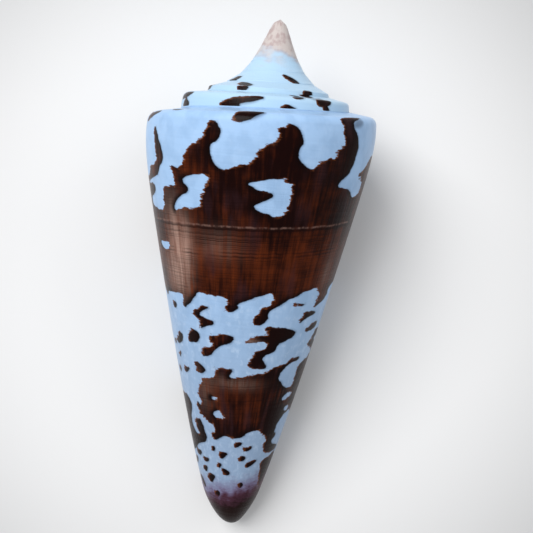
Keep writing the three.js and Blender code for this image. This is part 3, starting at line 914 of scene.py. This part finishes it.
def lined_brown(shader, brown, pattern, clouds):
    """The faint broken line round the whorl, with darker ones under it."""
    waver = shader.centred(shader.grain(pattern, 1.2, 0.3))
    spiral = shader.math("MULTIPLY_ADD", waver, 0.3, shader.attribute("spiral"))
    below_line = shader.math("ABSOLUTE", shader.math("SUBTRACT", spiral, 1.9))
    striae_share = shader.math(
        "MULTIPLY", shader.step(below_line, 3.0, 1.5, 0.5, 1.0), shader.step(clouds, 0.25, 0.55)
    )
    striae = shader.step(shader.stripes(spiral, 4.2), 0.4, 0.65, 0.0, 0.75)
    brown = shader.mix(shader.math("MULTIPLY", striae, striae_share), brown, BROWN_DARK)
    under_line = shader.math("ABSOLUTE", shader.math("SUBTRACT", spiral, 0.3))
    under_line = shader.step(under_line, 0.22, 0.05, 0.0, 0.5)
    brown = shader.mix(under_line, brown, BROWN_DARK)
    beads = shader.step(shader.grain(pattern, 2.4, 1.0, 3.0), 0.35, 0.65, 0.05, 0.45)
    near_line = shader.step(shader.math("ABSOLUTE", spiral), 0.2, 0.02)
    return shader.mix(shader.math("MULTIPLY", near_line, beads), brown, LINE_PALE)


def pale_ground(shader, pattern, drop, edge, rightness):
    """The white ground, tinted blue as a painted sky reflection, greyer and partly painted shade towards the
    base, bluer on the spire and mottled cream at the apex.
    """
    mottle = shader.grain(pattern, 0.6, 0.35, 3.0)
    ground = shader.mix(shader.step(mottle, 0.4, 0.65), SKY_TINTED_WHITE, SKY_TINTED_WHITE_SHADE)
    # Greyer and darker towards the base: partly the shell's own greyer colour, partly painted shade of the
    # lower side.
    ground = shader.mix(shader.step(drop, 24, 60, 0.0, 0.8), ground, LOWER_WHITE_AND_SHADE)
    flecks = shader.step(shader.grain(pattern, 1.2, 0.9, 4.0, 0.65), 0.48, 0.75, 0.0, 0.4)
    flecks = shader.math("MULTIPLY", flecks, shader.step(drop, 26, 40, 0.25, 1.0))
    ground = shader.mix(flecks, ground, SKY_TINTED_FLECK_WHITE)
    ground = shader.mix(shader.step(shader.attribute("turn"), 0.75, 1.1), ground, SKY_TINTED_SPIRE_WHITE)
    apex_sway = shader.centred(shader.grain(pattern, 0.12, 0.6))
    apex_drop = shader.math("MULTIPLY_ADD", apex_sway, 6.0, drop)
    cream_mottle = shader.grain(pattern, 0.25, 1.3, 3.0)
    cream = shader.mix(shader.step(cream_mottle, 0.4, 0.65), APEX_CREAM, APEX_PINK)
    ground = shader.mix(shader.step(apex_drop, 6.2, 3.2), ground, cream)
    # Painted blue-grey shade beside some streaks on the shoulder and the spire.
    painted_shade = shader.step(shader.attribute("painted_shade"), -0.4, 0.3, 0.0, 0.7)
    ground = shader.mix(painted_shade, ground, HALO_AND_SHADE_BLUE)
    beside = shader.math("MULTIPLY", rightness, shader.step(edge, -0.35, 0.0, 0.0, 0.4))
    return shader.mix(beside, ground, HALO_AND_SHADE_BLUE)


def base_place(shader, pattern, clouds):
    """How far past the start of the base's colour a point lies, in mm, with a brushed edge."""
    strokes = shader.centred(shader.grain(pattern, 0.5, 2.0, 3.0, 0.6))
    base = shader.math("MULTIPLY_ADD", shader.centred(clouds), 2.0, shader.attribute("base"))
    return shader.math("MULTIPLY_ADD", strokes, 3.0, base)


def relief(shader, pattern):
    """Fine growth lines along the shell and low cords round it."""
    growth = shader.grain(pattern, 4.5, 0.12, 3.0, 0.6)
    cords = shader.grain(pattern, 0.04, 2.2, 2.0, 0.6)
    grown = shader.bump(growth, GROWTH_RELIEF * MM, RELIEF_STRENGTH)
    return shader.bump(cords, CORD_RELIEF * MM, RELIEF_STRENGTH, grown)


def shell_material():
    """Glossy white, painted bluish as a reflection of the sky, with red-brown markings, a purple-brown base
    and a cream apex.
    """
    shader = Shader("shell_porcelain")
    pattern = shader.attribute("pattern", vector=True)
    drop = shader.attribute("drop")
    edge_side = shader.attribute("edge_side")
    leftness = shader.step(edge_side, 0.3, -0.6)
    rightness = shader.step(edge_side, 0.0, 0.6)
    clouds = shader.noise(pattern, 0.4, 3.0)
    edge = marking_edge(shader, pattern, drop, leftness)
    brown = streaked_brown(shader, pattern, clouds)
    brown = rimmed_brown(shader, brown, edge, leftness, rightness)
    brown = lined_brown(shader, brown, pattern, clouds)
    ground = pale_ground(shader, pattern, drop, edge, rightness)
    base = base_place(shader, pattern, clouds)
    ground = shader.mix(shader.step(base, -4.5, -0.6), ground, BASE_LAVENDER)

    colour = shader.mix(shader.step(edge, -0.08, 0.06), ground, brown)
    colour = shader.mix(shader.step(base, -1.8, 0.2), colour, BASE_PLUM)
    colour = shader.mix(shader.step(base, -0.2, 2.2), colour, BASE_DARK)
    colour = shader.mix(shader.attribute("inside"), colour, INNER_WHITE)
    shader.feed(shader.principled.inputs["Base Color"], colour)
    shader.feed(shader.principled.inputs["Normal"], relief(shader, pattern))
    shader.principled.inputs["Roughness"].default_value = ROUGHNESS
    shader.principled.inputs["Specular IOR Level"].default_value = SPECULAR_LEVEL
    return shader.material


def carve(body, cutter):
    """Cuts the hollow out of the filled shell."""
    modifier = body.modifiers.new("hollow", "BOOLEAN")
    modifier.operation = "DIFFERENCE"
    modifier.solver = "MANIFOLD"
    modifier.object = cutter
    depsgraph = bpy.context.evaluated_depsgraph_get()
    carved = bpy.data.meshes.new_from_object(body.evaluated_get(depsgraph))
    body.modifiers.clear()
    body.data = carved
    bpy.data.objects.remove(cutter)


def lay_down(mesh, low, high):
    """Pitches the shell, fits it into its box and moves it to metres. Returns the middle it had before."""
    points = np.empty(len(mesh.vertices) * 3)
    mesh.vertices.foreach_get("co", points)
    points = points.reshape(-1, 3)
    pitch = np.radians(LIE_PITCH)
    x, y, z = points.T
    points = np.stack([x, y * np.cos(pitch) - z * np.sin(pitch), y * np.sin(pitch) + z * np.cos(pitch)], -1)
    least, most = points.min(0), points.max(0)
    scale = min(((np.array(high) - low) / (most - least)).min(), MM)
    middle = (least + most) / 2
    middle[2] = least[2]
    target = (np.array(low) + high) / 2
    target[2] = low[2]
    points = (points - middle) * scale + target
    mesh.vertices.foreach_set("co", points.ravel())
    mesh.update()
    return middle


SHARP_ANGLE = 38


def make_shell():
    """The whole shell, in place of the solid. Returns the middle that it had before it was centred."""
    shell = outside().make("shell_wall")
    carve(shell, hollow().make("hollow"))
    paint(shell.data)
    middle = lay_down(shell.data, *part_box("shell"))
    shell.data.shade_smooth()
    shell.data.set_sharp_from_angle(angle=np.radians(SHARP_ANGLE))
    shell.data.materials.clear()
    shell.data.materials.append(shell_material())
    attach(shell, "root")
    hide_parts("shell")
    return middle


# The camera looks straight down. Its place is given beside the shell's axis, before the shell is centred.
CAMERA_HEIGHT = 116.5
CAMERA_X = 1.384
CAMERA_Y = -31.74
CAMERA_TURN = 5.69
SENSOR = 36
LENS = 53.36


def make_camera(middle):
    data = bpy.data.cameras.new("camera")
    data.sensor_width = SENSOR
    data.lens = LENS
    data.clip_start = 1 * MM
    camera = bpy.data.objects.new("camera", data)
    x, y = (CAMERA_X - middle[0]) * MM, (CAMERA_Y - middle[1]) * MM
    camera.location = (x, y, CAMERA_HEIGHT * MM)
    camera.rotation_euler = (0, 0, np.radians(CAMERA_TURN))
    bpy.context.scene.collection.objects.link(camera)
    bpy.context.scene.camera = camera


FLOOR_HALF = 600
FLOOR_PALE = (0.76, 0.76, 0.76, 1)
FLOOR_PAINTED_SHADE = (0.38, 0.38, 0.38, 1)
FLOOR_LIGHT_POOL = 95  # mm from the middle of the floor to its darker surround
FLOOR_ROUGHNESS = 0.9
FLOOR_SPECULAR_LEVEL = 0.1


def make_floor():
    """A pale floor with a painted pool of light: pale in the middle and painted darker towards its surround.
    """
    half = FLOOR_HALF * MM
    corners = [(-half, -half, 0), (half, -half, 0), (half, half, 0), (-half, half, 0)]
    mesh = bpy.data.meshes.new("floor")
    mesh.from_pydata(corners, [], [(0, 1, 2, 3)])
    floor = bpy.data.objects.new("floor", mesh)
    bpy.context.scene.collection.objects.link(floor)
    paper = Shader("floor_paper")
    spot = paper.tree.nodes.new("ShaderNodeTexCoord").outputs["Object"]
    gradient = paper.tree.nodes.new("ShaderNodeTexGradient")
    gradient.gradient_type = "SPHERICAL"
    paper.feed(gradient.inputs["Vector"], paper.stretch(spot, (1 / FLOOR_LIGHT_POOL / MM,) * 3))
    # Painted pool of light: the floor's colour grows darker away from its middle.
    shade = paper.step(gradient.outputs["Fac"], 0.15, 0.7)
    paper.feed(paper.principled.inputs["Base Color"], paper.mix(shade, FLOOR_PAINTED_SHADE, FLOOR_PALE))
    paper.principled.inputs["Roughness"].default_value = FLOOR_ROUGHNESS
    paper.principled.inputs["Specular IOR Level"].default_value = FLOOR_SPECULAR_LEVEL
    mesh.materials.append(paper.material)


# Lights, as place, aim and size in millimetres and power in watts.
KEY_LIGHT = ((-230, 215, 430), (0, 10, 10), 360, 2.7)
FILL_LIGHT = ((340, 160, 220), (0, 0, 10), 260, 0.25)
SKY_COLOUR = (0.97, 0.98, 1, 1)
SKY_STRENGTH = 0.52


def add_light(name, place_mm, aim_mm, size_mm, watts):
    light = bpy.data.lights.new(name, "AREA")
    light.shape = "SQUARE"
    light.size = size_mm * MM
    light.energy = watts
    lamp = bpy.data.objects.new(name, light)
    lamp.location = Vector(place_mm) * MM
    away = Vector(place_mm) - Vector(aim_mm)
    lamp.rotation_euler = away.to_track_quat("Z", "Y").to_euler()
    bpy.context.scene.collection.objects.link(lamp)


def make_lights():
    """A soft key from the upper left, a weaker fill from the right and an even pale sky."""
    add_light("key", *KEY_LIGHT)
    add_light("fill", *FILL_LIGHT)
    world = bpy.data.worlds.new("sky")
    bpy.context.scene.world = world
    world.use_nodes = True
    sky = world.node_tree.nodes["Background"]
    sky.inputs["Color"].default_value = SKY_COLOUR
    sky.inputs["Strength"].default_value = SKY_STRENGTH
    bpy.context.scene.view_settings.view_transform = "Standard"


make_camera(make_shell())
make_floor()
make_lights()
